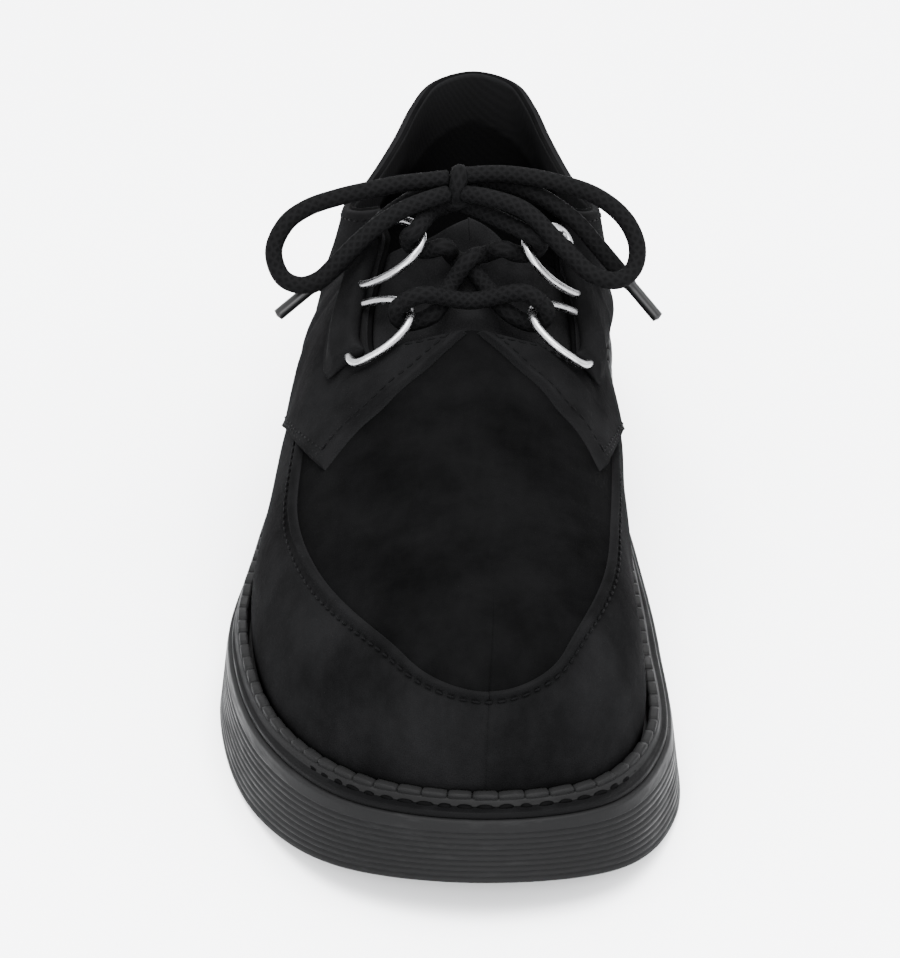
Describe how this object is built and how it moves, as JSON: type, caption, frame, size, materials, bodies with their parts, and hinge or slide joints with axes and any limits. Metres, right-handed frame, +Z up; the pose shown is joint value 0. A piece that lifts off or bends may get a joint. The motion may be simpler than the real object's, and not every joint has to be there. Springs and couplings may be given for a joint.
{
  "type": "suede derby shoe",
  "caption": "Right-foot suede derby shoe with a raised apron seam, ribbed rubber sole, D-ring lacing and a tied round lace.",
  "frame": {"origin": "on the floor under the middle of the shoe's length and width", "axes": "+Y from the toe to the heel, +Z up, +X to the inner side of the right foot"},
  "size_m": [0.1128, 0.2968, 0.1124],
  "materials": {
    "rubber": "matt moulded rubber with fine ribs on its side",
    "welt_rubber": "matt, stitched",
    "lining": "smooth",
    "suede": "brushed suede nap",
    "tongue_suede": "brushed suede nap",
    "strap_suede": "brushed suede nap",
    "steel": "polished",
    "cord": "round braided cord",
    "tip": "smooth"
  },
  "bodies": {
    "root": {"outsole": "rubber", "welt": "welt_rubber", "insole": "lining", "upper": "suede", "tongue": "tongue_suede", "ring_strap_lateral": "strap_suede", "ring_strap_medial": "strap_suede", "ring_lateral_front": "steel", "ring_lateral_back": "steel", "ring_medial_front": "steel", "ring_medial_back": "steel", "lace_bars": "cord", "lace_knot": "cord", "lace_loop_lateral": "cord", "lace_loop_medial": "cord", "lace_end_lateral": "cord", "lace_end_medial": "cord", "lace_tip_lateral": "tip", "lace_tip_medial": "tip"}
  },
  "joints": []
}
